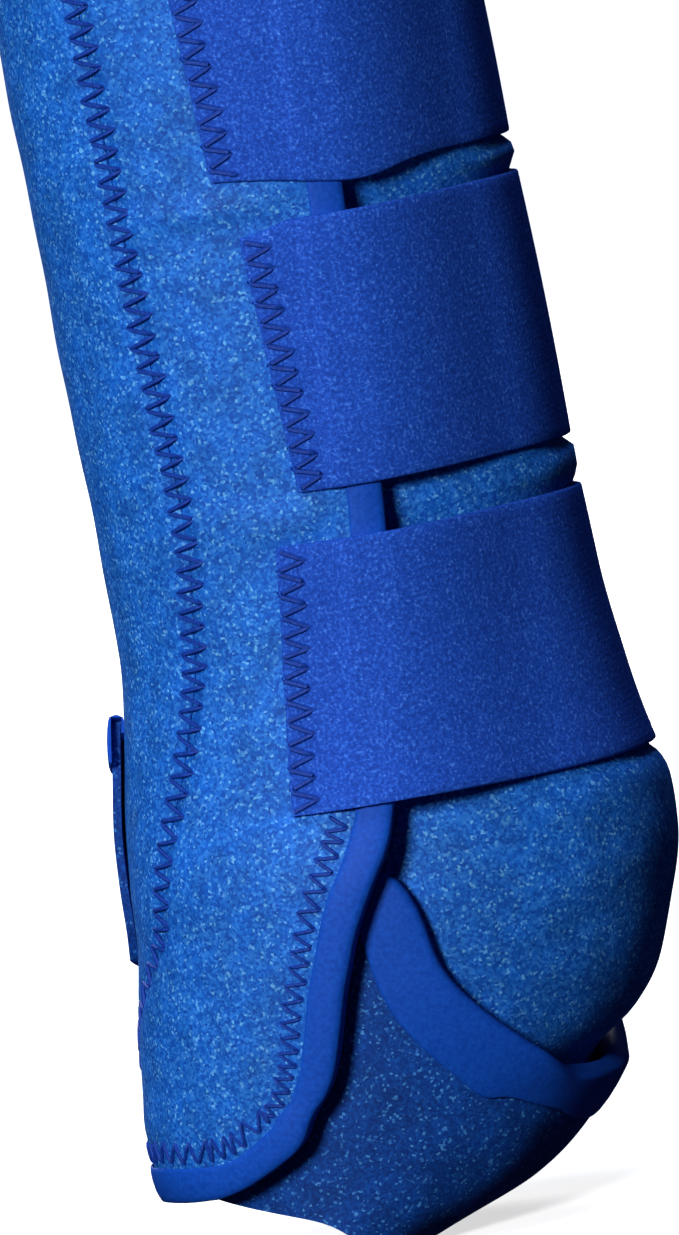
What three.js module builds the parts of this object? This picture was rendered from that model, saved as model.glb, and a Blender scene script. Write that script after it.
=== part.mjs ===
// Neoprene tendon boot for a horse's lower leg, stood upright as it sits on the leg.
// Millimetres. +Z is up the cannon bone, -X is the front of the leg, -Y is its outer side.
import * as THREE from 'three';
import { mergeVertices } from 'three/addons/utils/BufferGeometryUtils.js';

// ---------------------------------------------------------------- driving dimensions

const TOP = 278;            // top rim of the boot
const CUP_JOIN = 92;        // height where the fetlock cup is sewn to the tendon shell
const GAP = 0.3;            // space left between two pieces that touch
const SHELL = 4.0;          // neoprene with its glitter knit face
const LINING = 0.8;         // soft inner lining
const OVERLAP = 6.6;        // how far the closing panel's face stands off the shell under it
const SLING_LIFT = 4.7;     // extra stand-off where the panel also covers the sling's root
const STRAP = 1.6;          // elastic strap
const STRAP_WIDTH = 54;
const TAPE = 0.8;           // hook tape
const BINDING = 0.55;       // edge binding tape
const BINDING_WIDTH = 7;
const SLING = 2.45;         // sling band
const SLING_GAP = 1.5;      // the sling lies loosely over the shell
const STITCH_PITCH = 4.4;
const FOLD_X = -27;         // upright fold beside the long seam, where the closing panel opens

const MEDIAL_SEAM = -60;    // angles go round from the front (0) by the outer side (90) to the back (180)
const INNER_END = 60;
const TAB_ANGLE = 188;
const TAB_END = 231;
const SLING_START = 62;
const SLING_SPLIT = 300;
const SLING_END = 365;

// Level sections of the shell's outer face: height, front, back, half width.
const SECTIONS = [
  [3, -52.0, -11.0, 33.5],
  [12, -56.0, 9.8, 35.2],
  [22, -58.6, 22.0, 37.2],
  [30, -59.0, 28.9, 38.8],
  [36, -58.4, 36.8, 40.0],
  [46, -57.0, 43.8, 42.0],
  [56, -55.2, 47.9, 43.5],
  [70, -52.8, 51.8, 44.5],
  [80, -52.3, 52.1, 44.0],
  [88, -51.8, 49.6, 43.0],
  [104, -49.3, 46.9, 41.0],
  [125, -45.9, 45.2, 39.0],
  [200, -45.6, 45.1, 38.8],
  [278, -45.0, 44.6, 38.6],
];

// Outline of the closing panel's free edge and tongue as seen from the side: height, X.
const FREE_EDGE = [
  [17.0, -47.5],
  [20.5, -41.3],
  [30, -33.4],
  [41, -26.0],
  [53, -21.8],
  [68, -15.6],
  [87, -4.0],
  [148, 6.9],
  [212, 11.6],
  [278, 16.5],
];

// The long seam between the front shell and the closing panel: height, angle.
const SEAM = [
  [12, -34],
  [30, -15],
  [50, 12],
  [70, 31],
  [80, 34],
  [95, 38.5],
  [110, 43.5],
  [128, 47.5],
  [152, 51.5],
  [200, 50.5],
  [278, 50.3],
];

// Upper and lower edges of the fetlock sling: angle, height.
const SLING_TOP = [
  [60, 75],
  [76, 78],
  [84, 75],
  [93, 57],
  [98, 51],
  [110, 42],
  [125, 35],
  [141, 31],
  [163, 29],
  [180, 30],
  [205, 34],
  [230, 42],
  [270, 64],
  [300, 84],
  [330, 101],
  [365, 112],
];
const SLING_BOTTOM = [
  [60, 13],
  [77, 9.5],
  [90, 6.5],
  [100, 4.5],
  [140, 3.6],
  [180, 4],
  [205, 6],
  [230, 12],
  [270, 27],
  [300, 42],
  [330, 55],
  [365, 64],
];

// Each strap: name, middle height where it is sewn on, X of its sewn edge, hinge angle.
const STRAPS = [
  { name: 'upper', mid: 243.0, sewn: -14.2, hinge: 113 },
  { name: 'middle', mid: 181.3, sewn: -9.5, hinge: 108 },
  { name: 'lower', mid: 117.2, sewn: -19, hinge: 102 },
];

const COLOURS = {
  glitter: 0x1a66c4,
  strap: 0x1c3fae,
  binding: 0x2a5ccc,
  thread: 0x0d2c86,
  lining: 0x14181f,
  tape: 0x10131a,
};

// ---------------------------------------------------------------- the leg form

const radians = THREE.MathUtils.degToRad;
const mix = THREE.MathUtils.lerp;

function ramp(value, start, end) {
  const t = THREE.MathUtils.clamp((value - start) / (end - start), 0, 1);
  return t * t * (3 - 2 * t);
}

// A smooth line through rows of [position, value] that never overshoots them.
function smoothLine(rows, column = 1) {
  const x = rows.map((row) => row[0]);
  const y = rows.map((row) => row[column]);
  const slopes = x.slice(1).map((end, i) => (y[i + 1] - y[i]) / (end - x[i]));
  const tangents = x.map((_, i) => {
    if (i === 0) return slopes[0];
    if (i === slopes.length) return slopes[i - 1];
    const before = slopes[i - 1];
    const after = slopes[i];
    return before * after <= 0 ? 0 : (2 * before * after) / (before + after);
  });
  return (at) => {
    if (at <= x[0]) return y[0] + (at - x[0]) * tangents[0];
    const last = x.length - 1;
    if (at >= x[last]) return y[last];
    const i = x.findIndex((end, n) => n > 0 && at <= end) - 1;
    const width = x[i + 1] - x[i];
    const t = (at - x[i]) / width;
    const rise = t * t * (3 - 2 * t);
    return y[i] * (1 - rise) + y[i + 1] * rise
      + width * t * (1 - t) * ((1 - t) * tangents[i] - t * tangents[i + 1]);
  };
}

const frontLine = smoothLine(SECTIONS, 1);
const backLine = smoothLine(SECTIONS, 2);
const halfWidth = smoothLine(SECTIONS, 3);
const freeEdge = smoothLine(FREE_EDGE);
const seamAngle = smoothLine(SEAM);
const slingTop = smoothLine(SLING_TOP);
const slingBottom = smoothLine(SLING_BOTTOM);

function formPoint(angle, z) {
  const front = frontLine(z);
  const back = backLine(z);
  const a = radians(angle);
  return new THREE.Vector3(
    (front + back) / 2 - (back - front) / 2 * Math.cos(a),
    -halfWidth(z) * Math.sin(a),
    z,
  );
}

function tangents(angle, z) {
  const around = formPoint(angle + 0.5, z).sub(formPoint(angle - 0.5, z));
  const up = formPoint(angle, z + 0.5).sub(formPoint(angle, z - 0.5));
  return [around, up];
}

// The point at an angle and height, standing off the form along its outward normal.
function onForm(angle, z, offset) {
  const [around, up] = tangents(angle, z);
  const normal = new THREE.Vector3().crossVectors(around, up).normalize();
  return formPoint(angle, z).addScaledVector(normal, offset);
}

// The angle on the outer side at which a line drawn at X in the side view lies.
function angleAt(x, z, offset) {
  const front = frontLine(z) - offset;
  const back = backLine(z) + offset;
  const middle = (front + back) / 2;
  const cosine = THREE.MathUtils.clamp((middle - x) / ((back - front) / 2), -1, 1);
  return THREE.MathUtils.radToDeg(Math.acos(cosine));
}

// How far the outer layer stands off: the front climbs over the inner end of the shell,
// and low down on the outer side it climbs over the sling's root as well.
function lift(angle, z) {
  const turn = angle > 180 ? angle - 360 : angle;
  const low = 1 - ramp(z, 74, 104);
  return OVERLAP * ramp(turn, MEDIAL_SEAM + 4, 48) + SLING_LIFT * low * ramp(turn, -8, 50);
}

// ---------------------------------------------------------------- building pieces

const group = new THREE.Group();
group.name = 'tendon_boot';

function signedVolume(geometry) {
  const { position } = geometry.attributes;
  const corner = [new THREE.Vector3(), new THREE.Vector3(), new THREE.Vector3()];
  let sum = 0;
  for (let i = 0; i < geometry.index.count; i += 3) {
    corner.forEach((c, n) => c.fromBufferAttribute(position, geometry.index.getX(i + n)));
    sum += corner[0].dot(corner[1].cross(corner[2]));
  }
  return sum / 6;
}

function add(name, kind, geometry) {
  const plain = geometry.clone();
  plain.deleteAttribute('normal');
  plain.deleteAttribute('uv');
  const welded = mergeVertices(plain, 1e-4);
  if (signedVolume(welded) < 0) welded.setIndex([...welded.index.array].reverse());
  welded.computeVertexNormals();
  const material = new THREE.MeshStandardMaterial({
    color: COLOURS[kind],
    roughness: kind === 'glitter' ? 0.6 : 0.85,
    metalness: 0,
  });
  material.name = kind;
  const mesh = new THREE.Mesh(welded, material);
  mesh.name = name;
  group.add(mesh);
}

function bend(geometry, place) {
  const { position } = geometry.attributes;
  for (let i = 0; i < position.count; i += 1) {
    const p = place(position.getX(i), position.getY(i), position.getZ(i));
    position.setXYZ(i, p.x, p.y, p.z);
  }
  return geometry;
}

const asFunction = (value) => (typeof value === 'function' ? value : () => value);

// A layer of material laid on the form between two side edges (functions of height),
// a lower and an upper edge (functions of angle) and an inner and an outer stand-off.
function layer(name, kind, spec) {
  const [from, to, low, high, inner, outer] = ['from', 'to', 'low', 'high', 'inner', 'outer']
    .map((key) => asFunction(spec[key]));
  const box = new THREE.BoxGeometry(1, 1, 1, spec.around, 1, spec.up);
  const middle = (low(spec.guess) + high(spec.guess)) / 2;
  bend(box, (x, y, z) => {
    const across = x + 0.5;
    const up = (z + 0.5) ** (spec.crowd ?? 1);
    let angle = mix(from(middle), to(middle), across);
    let height = middle;
    for (let pass = 0; pass < 4; pass += 1) {
      height = mix(low(angle), high(angle), up);
      angle = mix(from(height), to(height), across);
    }
    const offset = mix(inner(angle, height), outer(angle, height), y + 0.5);
    return onForm(angle, height, offset);
  });
  add(name, kind, box);
}

// The point a given number of millimetres to one side of a path drawn on the form.
function besidePath(path, t, side, offset) {
  const [angle, z] = path(t);
  const before = path(Math.max(t - 0.004, 0));
  const after = path(Math.min(t + 0.004, 1));
  const [around, up] = tangents(angle, z);
  const along = around.clone().multiplyScalar(after[0] - before[0])
    .addScaledVector(up, after[1] - before[1]).normalize();
  const normal = new THREE.Vector3().crossVectors(around, up).normalize();
  const across = new THREE.Vector3().crossVectors(normal, along);
  const turn = across.dot(around) / around.lengthSq();
  const rise = (across.dot(up) - turn * around.dot(up)) / up.lengthSq();
  const there = [angle + turn * side, z + rise * side];
  return onForm(there[0], there[1], offset(...there));
}

// Binding tape folded over an edge that follows a path: a U-shaped section, open to one side.
function binding(name, path, spec) {
  const { inner, outer, face, back, steps, side } = spec;
  const shape = new THREE.Shape([
    new THREE.Vector2(face, outer + BINDING),
    new THREE.Vector2(-GAP - 0.4, outer + BINDING - 0.1),
    new THREE.Vector2(-GAP - BINDING, (inner + outer) / 2),
    new THREE.Vector2(-GAP - 0.4, inner - BINDING + 0.1),
    new THREE.Vector2(back, inner - BINDING),
    new THREE.Vector2(back, inner),
    new THREE.Vector2(-GAP, inner),
    new THREE.Vector2(-GAP, outer),
    new THREE.Vector2(face, outer),
  ]);
  const tape = new THREE.ExtrudeGeometry(shape, { depth: 1, steps, bevelEnabled: false });
  const rise = spec.rise ?? (() => 0);
  const reach = spec.reach ?? (() => 1);
  bend(tape, (x, y, z) => {
    const inward = x > 0 ? x * reach(z) : x;
    return besidePath(path, z, side * inward, (a, height) => y + rise(a, height));
  });
  add(name, 'binding', tape);
}

// A row of zigzag stitching along a path, shifted to one side of it.
function zigzag(name, path, length, spec) {
  const count = Math.max(2, Math.round((2 * length) / STITCH_PITCH));
  const half = spec.width / 2;
  const thread = Math.min(0.8, 0.25 * half);
  const above = [];
  const below = [];
  for (let i = 0; i <= count; i += 1) {
    const side = i % 2 ? half - thread : thread - half;
    above.push(new THREE.Vector2((length * i) / count, side + thread));
    below.push(new THREE.Vector2((length * i) / count, side - thread));
  }
  const outline = new THREE.Shape([...below, ...above.reverse()]);
  const row = new THREE.ExtrudeGeometry(outline, { depth: 0.4, bevelEnabled: false });
  bend(row, (x, y, z) => besidePath(
    path,
    x / length,
    y + (spec.shift ?? 0),
    (angle, height) => spec.rise(angle, height) + GAP + z,
  ));
  add(name, 'thread', row);
}

// ---------------------------------------------------------------- shell, cup and front

layer('tendon_shell', 'glitter', {
  from: INNER_END, to: 360 + MEDIAL_SEAM, low: CUP_JOIN + 0.2, high: TOP,
  inner: -SHELL, outer: 0, around: 24, up: 9, crowd: 2, guess: 180,
});
layer('tendon_lining', 'lining', {
  from: INNER_END + 1, to: 359.6 + MEDIAL_SEAM, low: CUP_JOIN + 0.2, high: TOP - 0.5,
  inner: -SHELL - GAP - LINING, outer: -SHELL - GAP, around: 24, up: 9, crowd: 2, guess: 180,
});

const cupBottom = smoothLine([[60, 19], [110, 17], [180, 20], [250, 17], [300, 17]]);
layer('fetlock_cup', 'glitter', {
  from: INNER_END, to: 360 + MEDIAL_SEAM, low: cupBottom, high: CUP_JOIN - 0.2,
  inner: -SHELL, outer: 0, around: 24, up: 9, guess: 120,
});
layer('fetlock_cup_lining', 'lining', {
  from: INNER_END + 1, to: 359.6 + MEDIAL_SEAM, low: (a) => cupBottom(a) + 0.5,
  high: CUP_JOIN - 0.2, inner: -SHELL - GAP - LINING, outer: -SHELL - GAP,
  around: 24, up: 9, guess: 120,
});

const frontBottom = smoothLine([
  [-60, 17], [-30, 14.6], [0, 14], [30, 15], [44, 16.8], [56, 21.5], [90, 30],
]);
layer('front_shell', 'glitter', {
  from: MEDIAL_SEAM + 0.4, to: (z) => seamAngle(z) - 0.3, low: frontBottom, high: TOP,
  inner: (a, z) => lift(a, z) - SHELL, outer: lift, around: 11, up: 20, crowd: 1.6, guess: -20,
});
layer('front_lining', 'lining', {
  from: MEDIAL_SEAM + 0.4, to: (z) => seamAngle(z) - 0.3,
  low: frontBottom, high: TOP,
  inner: (a, z) => lift(a, z) - SHELL - 3 * GAP - LINING,
  outer: (a, z) => lift(a, z) - SHELL - 3 * GAP, around: 11, up: 20, crowd: 1.6, guess: -20,
});

// ---------------------------------------------------------------- closing panel and tongue

const panelFace = (a, z) => lift(60, z);
const foldBefore = (z) => angleAt(FOLD_X - 0.3, z, panelFace(0, z));
const foldAfter = (z) => angleAt(FOLD_X + 0.3, z, panelFace(0, z));
const panelEdge = (z) => angleAt(freeEdge(z), z, panelFace(0, z));
const panelBottom = 45;      // below this the tongue lies wholly in front of the fold

layer('closing_panel_root', 'glitter', {
  from: (z) => seamAngle(z) + 0.3, to: (z) => Math.min(foldBefore(z), panelEdge(z)),
  low: frontBottom, high: TOP,
  inner: (a, z) => lift(a, z) - SHELL + 0.3, outer: lift, around: 9, up: 20, crowd: 1.6, guess: 30,
});
layer('closing_panel', 'glitter', {
  from: foldAfter, to: panelEdge, low: panelBottom, high: TOP,
  inner: (a, z) => panelFace(a, z) - SHELL + 0.3, outer: panelFace,
  around: 6, up: 28, guess: 70,
});
layer('closing_panel_lining', 'lining', {
  from: (z) => foldAfter(z) + 0.5, to: panelEdge, low: panelBottom + 0.5, high: TOP - 0.5,
  inner: (a, z) => panelFace(a, z) - SHELL - 0.6,
  outer: (a, z) => panelFace(a, z) - SHELL, around: 6, up: 28, guess: 70,
});

// ---------------------------------------------------------------- edge bindings

binding('top_binding', (t) => [mix(INNER_END + 1, 408, t), TOP], {
  inner: -SHELL - 5 * GAP - LINING, outer: GAP, face: 6, back: 5, steps: 40, side: -1,
  rise: (a, z) => (a > 250 ? lift(a, z) : 0),
});
binding('cup_binding', (t) => {
  const angle = mix(INNER_END + 1, 358 + MEDIAL_SEAM, t);
  return [angle, cupBottom(angle)];
}, {
  inner: -SHELL - 2 * GAP - LINING, outer: GAP, face: 4, back: 4, steps: 24, side: 1,
});
const tonguePath = new THREE.CatmullRomCurve3([
  ...[44, 37, 30.5, 25, 21].map((z) => new THREE.Vector3(panelEdge(z), z, 0)),
  ...[42, 28, 0, -30, -57].map((angle) => new THREE.Vector3(angle, frontBottom(angle), 0)),
]);
const alongTongue = (t) => tonguePath.getPointAt(t).toArray().slice(0, 2);
binding('tongue_binding', alongTongue, {
  inner: -SHELL - 5 * GAP - LINING, outer: 0.4, face: BINDING_WIDTH, back: 4, steps: 30,
  side: -1, rise: lift,
});
binding('panel_top_binding', (t) => [mix(58, 106, t), TOP], {
  inner: -SHELL - 0.6 - GAP, outer: GAP, face: 6, back: 5, steps: 6, side: -1, rise: panelFace,
});
const edgePath = (t) => {
  const z = mix(TOP - 8, panelBottom + 0.6, t);
  return [panelEdge(z), z];
};
const roomBesideFold = (t) => {
  const room = freeEdge(edgePath(t)[1]) - FOLD_X - 0.8;
  return THREE.MathUtils.clamp(room / BINDING_WIDTH, 0.1, 1);
};
binding('panel_edge_binding', edgePath, {
  inner: -SHELL - 0.6 - GAP, outer: GAP + 0.1, face: BINDING_WIDTH, back: 5, steps: 32,
  side: -1, rise: panelFace, reach: roomBesideFold,
});

// ---------------------------------------------------------------- straps

const strapMiddle = (strap, angle) => strap.mid - 0.034 * (angle - 75);

STRAPS.forEach((strap) => {
  const half = STRAP_WIDTH / 2;
  const low = (a) => strapMiddle(strap, a) - half;
  const high = (a) => strapMiddle(strap, a) + half;
  const slant = strap.name === 'lower' ? 0.14 : -0.03;
  const sewn = (z) => angleAt(strap.sewn + slant * (z - strap.mid), z, panelFace(0, z));
  const overPanel = (a, z) => panelFace(a, z) + GAP
    + (BINDING + GAP) * ramp(a, panelEdge(z) - 20, panelEdge(z) - 13);
  const overShell = (a, z) => mix(overPanel(a, z), 0.4, ramp(a, strap.hinge + 1, strap.hinge + 18))
    + 0.9 * ramp(a, 168, TAB_ANGLE - 1);
  layer(`${strap.name}_strap_root`, 'strap', {
    from: sewn, to: strap.hinge - 0.3, low, high,
    inner: overPanel, outer: (a, z) => overPanel(a, z) + STRAP, around: 6,
    up: strap.name === 'lower' ? 8 : 4, guess: 90,
  });
  layer(`${strap.name}_strap_band`, 'strap', {
    from: strap.hinge + 0.3, to: TAB_ANGLE - 0.3, low, high,
    inner: overShell, outer: (a, z) => overShell(a, z) + STRAP, around: 12, up: 4, guess: 150,
  });
  layer(`${strap.name}_strap_tab`, 'strap', {
    from: TAB_ANGLE + 0.3,
    to: (z) => TAB_END - 7 * ((z - strapMiddle(strap, 210)) / half) ** 4,
    low, high, inner: 1.4, outer: 1.4 + STRAP, around: 6, up: 6, guess: 210,
  });
  layer(`${strap.name}_hook_tape`, 'tape', {
    from: TAB_ANGLE + 3, to: TAB_END - 9, low: (a) => low(a) + 4, high: (a) => high(a) - 4,
    inner: GAP, outer: GAP + TAPE, around: 6, up: 3, guess: 210,
  });
  const row = (t) => {
    const z = mix(strapMiddle(strap, 80) + half - 1, strapMiddle(strap, 80) - half + 1, t);
    return [sewn(z), z];
  };
  zigzag(`${strap.name}_strap_stitching`, row, STRAP_WIDTH - 2, {
    width: 5, shift: 3.2, rise: (a, z) => overPanel(a, z) + STRAP + 0.1,
  });
});

// ---------------------------------------------------------------- fetlock sling

const flare = (a, z) => 2 * ramp(z, slingTop(a) - 30, slingTop(a))
  * ramp(a, 100, 135) * (1 - ramp(a, 225, 265));
layer('sling_band', 'glitter', {
  from: SLING_START, to: SLING_SPLIT - 0.3, low: slingBottom, high: (a) => slingTop(a) - 1,
  inner: (a, z) => SLING_GAP + flare(a, z), outer: (a, z) => SLING_GAP + SLING + flare(a, z),
  around: 36, up: 7, guess: 180,
});
binding('sling_binding', (t) => {
  const angle = mix(SLING_START + 1, SLING_SPLIT - 1, t);
  return [angle, slingTop(angle)];
}, {
  inner: SLING_GAP - 0.6, outer: SLING_GAP + SLING + 0.8, face: 11, back: 3, steps: 44, side: -1,
  rise: (a, z) => flare(a, Math.min(z, slingTop(a))),
});
layer('sling_tab', 'glitter', {
  from: SLING_SPLIT + 0.3, to: SLING_END, low: slingBottom, high: slingTop,
  inner: (a, z) => lift(a, z) + 1.5, outer: (a, z) => lift(a, z) + 3.7,
  around: 9, up: 5, guess: 330,
});
binding('sling_tab_binding', (t) => {
  const angle = mix(SLING_SPLIT + 1, SLING_END - 0.5, t);
  return [angle, slingTop(angle)];
}, {
  inner: 1.2, outer: 4.0, face: 9, back: 3, steps: 10, side: -1, rise: lift,
});
layer('sling_hook_tape', 'tape', {
  from: 322, to: SLING_END - 3, low: (a) => slingBottom(a) + 5, high: (a) => slingTop(a) - 8,
  inner: (a, z) => lift(a, z) + 0.4, outer: (a, z) => lift(a, z) + 1.2,
  around: 6, up: 3, guess: 340,
});

// ---------------------------------------------------------------- stitching

zigzag('long_seam_stitching', (t) => {
  const z = mix(TOP - 8, 24, t);
  return [seamAngle(z), z];
}, 265, { width: 6, rise: (a, z) => lift(a, z) + 0.1 });
zigzag('panel_edge_stitching', (t) => {
  const z = mix(86, 67, t);
  return [panelEdge(z), z];
}, 22, { width: 3, shift: -BINDING_WIDTH - 2.4, rise: panelFace });
zigzag('tongue_stitching', alongTongue, 118, {
  width: 3, shift: -BINDING_WIDTH - 2.4, rise: (a, z) => lift(a, z) + 0.2,
});

export default group;
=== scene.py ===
# %% [markdown]
# # A glitter neoprene tendon boot
# A tendon boot is a sleeve of foam rubber faced with knit. It wraps a horse's lower leg, closes with three
# stretch straps on the outer side, and carries the fetlock in a sling. Every piece of it is cut flat and
# curves only because it lies on the leg. So this lesson first describes the leg as a smooth form, then
# cuts each piece flat, gives it its thickness, and lays it on that form.

# %% Load the frame
import math
import bpy
import numpy as np
from mathutils import Matrix, Vector


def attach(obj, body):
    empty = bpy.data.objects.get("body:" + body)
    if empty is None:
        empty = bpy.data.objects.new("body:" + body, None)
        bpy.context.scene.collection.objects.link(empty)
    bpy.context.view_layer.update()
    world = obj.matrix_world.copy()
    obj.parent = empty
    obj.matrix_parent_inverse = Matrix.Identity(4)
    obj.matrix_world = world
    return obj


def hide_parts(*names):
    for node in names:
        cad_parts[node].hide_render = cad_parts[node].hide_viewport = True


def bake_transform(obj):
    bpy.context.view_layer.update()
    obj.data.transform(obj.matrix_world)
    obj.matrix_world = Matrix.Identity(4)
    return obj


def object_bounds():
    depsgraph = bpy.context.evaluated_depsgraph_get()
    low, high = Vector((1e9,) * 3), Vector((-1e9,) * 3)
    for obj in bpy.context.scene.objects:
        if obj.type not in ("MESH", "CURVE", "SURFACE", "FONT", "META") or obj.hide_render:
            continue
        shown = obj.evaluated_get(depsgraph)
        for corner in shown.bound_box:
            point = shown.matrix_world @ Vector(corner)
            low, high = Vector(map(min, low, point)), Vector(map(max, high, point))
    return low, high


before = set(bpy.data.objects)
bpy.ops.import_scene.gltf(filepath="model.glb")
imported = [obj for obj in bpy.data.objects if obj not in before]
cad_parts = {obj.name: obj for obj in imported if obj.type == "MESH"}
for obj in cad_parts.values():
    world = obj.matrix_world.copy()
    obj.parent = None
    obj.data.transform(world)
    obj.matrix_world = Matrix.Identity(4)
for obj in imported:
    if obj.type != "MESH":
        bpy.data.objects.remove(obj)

cad_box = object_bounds()
scene = bpy.context.scene

# %% [markdown]
# ## The leg form
# The boot's outer face is described by level sections: at each height a front line, a back line and a half
# width. A line through these numbers that never overshoots keeps the cannon straight and the fetlock round.
# Angles go round the leg from the front (0) by the outer side (90) to the back (180). All sizes are in
# millimetres and turn into metres only where a point is placed.

# %% Smooth lines and the form
def smooth_line(rows, column=1):
    x = np.array([row[0] for row in rows], float)
    y = np.array([row[column] for row in rows], float)
    slopes = np.diff(y) / np.diff(x)
    tangents = np.concatenate([[slopes[0]], np.zeros(len(x) - 2), [slopes[-1]]])
    for i in range(1, len(x) - 1):
        before, after = slopes[i - 1], slopes[i]
        if before * after > 0:
            tangents[i] = 2 * before * after / (before + after)

    def at(value):
        value = np.asarray(value, float)
        inside = np.clip(value, x[0], x[-1])
        i = np.clip(np.searchsorted(x, inside, side="right") - 1, 0, len(x) - 2)
        width = x[i + 1] - x[i]
        t = (inside - x[i]) / width
        rise = t * t * (3 - 2 * t)
        curve = y[i] * (1 - rise) + y[i + 1] * rise
        curve = curve + width * t * (1 - t) * ((1 - t) * tangents[i] - t * tangents[i + 1])
        return curve + np.minimum(value - x[0], 0) * tangents[0]

    return at


def ramp(value, start, end):
    t = np.clip((np.asarray(value, float) - start) / (end - start), 0, 1)
    return t * t * (3 - 2 * t)


SECTIONS = [  # height, front, back, half width of the shell's outer face
    (3, -52.0, -11.0, 33.5),
    (12, -56.0, 9.8, 35.2),
    (22, -58.6, 22.0, 37.2),
    (30, -59.0, 28.9, 38.8),
    (36, -58.4, 36.8, 40.0),
    (46, -57.0, 43.8, 42.0),
    (56, -55.2, 47.9, 43.5),
    (70, -52.8, 51.8, 44.5),
    (80, -52.3, 52.1, 44.0),
    (88, -51.8, 49.6, 43.0),
    (104, -49.3, 46.9, 41.0),
    (125, -45.9, 45.2, 39.0),
    (200, -45.6, 45.1, 38.8),
    (278, -45.0, 44.6, 38.6),
]
front_line = smooth_line(SECTIONS, 1)
back_line = smooth_line(SECTIONS, 2)
half_width = smooth_line(SECTIONS, 3)


def form_point(angle, height):
    front, back = front_line(height), back_line(height)
    a = np.radians(angle)
    return np.stack([
        (front + back) / 2 - (back - front) / 2 * np.cos(a),
        -half_width(height) * np.sin(a),
        height + 0 * a,
    ], -1)


def form_directions(angle, height):
    around = form_point(angle + 0.5, height) - form_point(angle - 0.5, height)
    up = form_point(angle, height + 0.5) - form_point(angle, height - 0.5)
    normal = np.cross(around, up)
    return around, up, normal / np.linalg.norm(normal, axis=-1, keepdims=True)


def on_form(angle, height, standoff):
    """Points in metres that stand off the form along its outward normal."""
    angle, height, standoff = np.broadcast_arrays(angle, height, standoff)
    normal = form_directions(angle, height)[2]
    return (form_point(angle, height) + normal * standoff[..., None]) / 1000


def angle_at(x, height, standoff):
    """The angle on the outer side of a line drawn at x in the side view."""
    front, back = front_line(height) - standoff, back_line(height) + standoff
    cosine = ((front + back) / 2 - x) / ((back - front) / 2)
    return np.degrees(np.arccos(np.clip(cosine, -1, 1)))


print("the leg is", round(float(back_line(200) - front_line(200)), 1), "mm deep at the cannon")

# %% [markdown]
# ## The cut of each piece
# These are the maker's dimensions: how thick each layer is, where the closing panel ends, how the sling
# runs under the fetlock. Where the closing panel lies over the shell, and low down over the sling's root as
# well, it stands off the form: `lift` says by how much.

# %% Dimensions of the cut
# heights
TOP, CUP_JOIN = 278, 92
# thicknesses, then widths
SHELL, LINING, FLAP_LINING, STRAP, HOOK_TAPE = 4.0, 0.8, 0.6, 1.6, 0.8
SLING, SLING_GRIP, BINDING = 2.45, 1.7, 0.55
BINDING_WIDTH, STRAP_WIDTH = 5.8, 54.0
# room under the closing panel, under its foot, under the sling, and between layers that touch
OVERLAP, SLING_LIFT, SLING_GAP, CLEAR = 6.6, 4.7, 1.5, 0.3
# angles in degrees
OUTER_SIDE, BACK, TURN = 90.0, 180, 360
MEDIAL_SEAM, INNER_END, TAB_ANGLE, TAB_END = -60, 60, 188, 231
SLING_START, SLING_SPLIT, SLING_END = 36, 300, 365

free_edge = smooth_line([(17, -47.5), (20.5, -41.3), (30, -33.4), (41, -26), (53, -21.8),
                         (68, -15.6), (87, -4), (148, 6.9), (212, 11.6), (278, 16.5)])
seam_angle = smooth_line([(12, -34), (30, -15), (50, 12), (70, 31), (80, 34), (95, 38.5), (110, 43.5),
                          (128, 47.5), (152, 51.5), (200, 50.5), (278, 50.3)])
sling_top = smooth_line([(60, 75), (76, 78), (84, 75), (93, 57), (98, 51), (110, 42), (125, 35),
                         (141, 31), (163, 29), (180, 30), (205, 34), (230, 42), (270, 64),
                         (300, 84), (330, 101), (365, 112)])
sling_bottom = smooth_line([(60, 13), (77, 9.5), (90, 6.5), (100, 4.5), (140, 3.6), (180, 4),
                            (205, 6), (230, 12), (270, 27), (300, 42), (330, 55), (365, 64)])
front_bottom = smooth_line([(-60, 19), (-30, 18.2), (0, 18.4), (30, 19.6), (44, 19.9), (51, 20.2),
                            (59, 22), (66, 25.6), (90, 34)])
cup_bottom = smooth_line([(60, 19), (110, 17), (180, 20), (250, 17), (300, 17)])


def lift(angle, height):
    turn = np.where(np.asarray(angle) > BACK, np.asarray(angle) - TURN, angle)
    low = 1 - ramp(height, 74, 104)
    return OVERLAP * ramp(turn, MEDIAL_SEAM + 4, 48) + SLING_LIFT * low * ramp(turn, -8, 50)


def panel_face(angle, height):
    return lift(INNER_END, height)


def panel_edge(height):
    return angle_at(free_edge(height), height, panel_face(0, height))


# name, middle height where it is sewn on, X of its sewn edge, angle of its fold, lean of its sewn edge,
# and how far its lower and its upper front corner are tucked in
STRAPS = [
    ("upper", 243.0, -14.2, 113, -0.03, 1.6, 0.0),
    ("middle", 181.3, -9.5, 108, -0.03, 0.0, 2.2),
    ("lower", 117.2, -19.0, 102, 0.14, 0.0, 0.0),
]


def strap_middle(mid, angle):
    return mid - 0.034 * (angle - 75)


def bare(angle, height):
    """1 where no strap covers the boot, fading to 0 under a strap's edge."""
    covered = 0
    for _, mid, *_ in STRAPS:
        away = np.abs(height - strap_middle(mid, angle))
        covered = covered + (1 - ramp(away, STRAP_WIDTH / 2 + 0.4, STRAP_WIDTH / 2 + 2.8))
    return np.clip(1 - covered, 0, 1)


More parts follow.
